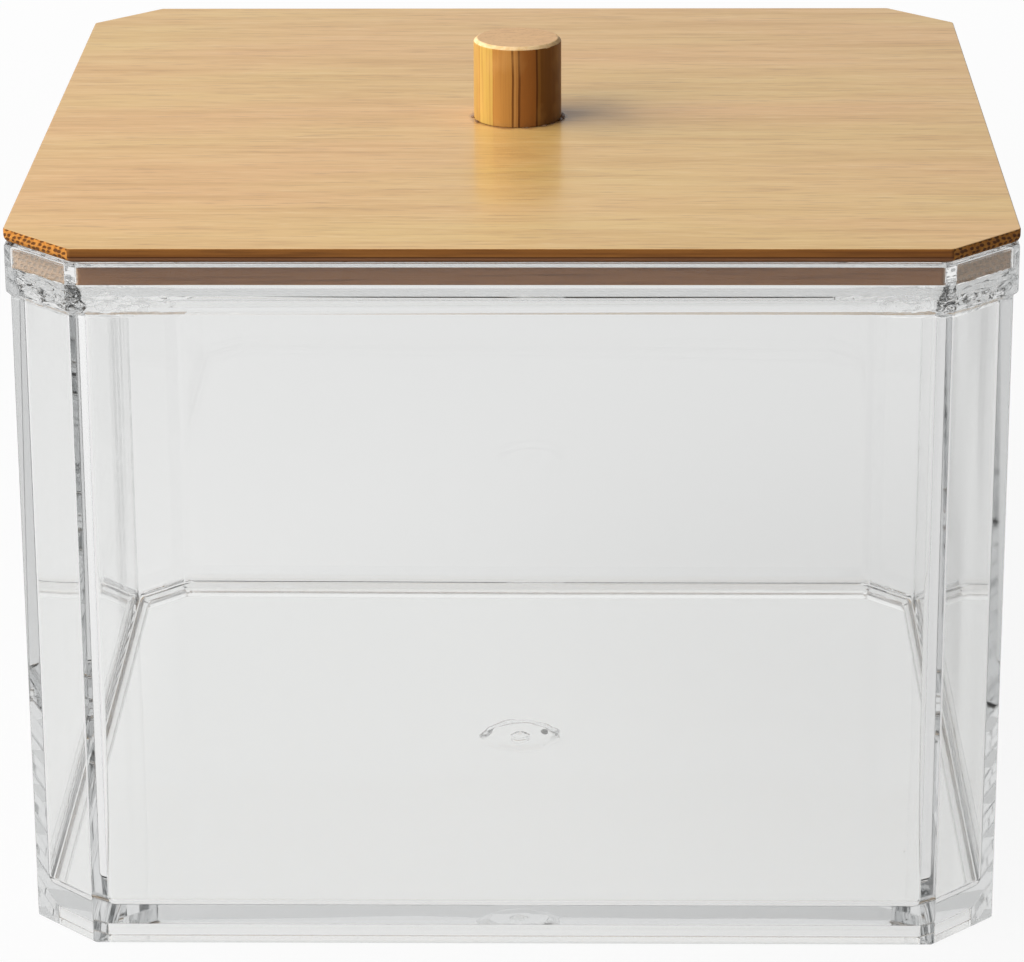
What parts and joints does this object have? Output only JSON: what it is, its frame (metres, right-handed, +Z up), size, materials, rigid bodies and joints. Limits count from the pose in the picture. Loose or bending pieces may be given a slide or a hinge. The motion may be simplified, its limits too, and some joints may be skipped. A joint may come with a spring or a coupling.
{
  "type": "lidded storage box",
  "caption": "Clear square storage box with cut corners and a lift-off bamboo lid with a dowel knob, for cotton pads.",
  "frame": {"origin": "middle of the face that the box stands on, at the foot ring's level", "axes": "+Z up through the knob, front towards -Y, +X to the right seen from the front"},
  "size_m": [0.128, 0.128, 0.1064],
  "materials": {
    "clear_plastic": "clear, polished",
    "bamboo_board": "satin lacquer over fine straight grain",
    "bamboo_dowel": "satin lacquer, bare end grain on top",
    "screw_steel": "zinc plated"
  },
  "bodies": {
    "box": {"box_body": "clear_plastic"},
    "lid": {"lid_board": "bamboo_board", "knob": "bamboo_dowel", "knob_screw": "screw_steel"}
  },
  "joints": [
    {"name": "lid_lift", "type": "slide", "parent": "box", "child": "lid", "axis": [0, 0, 1], "range_m": [0, 0.13]}
  ]
}
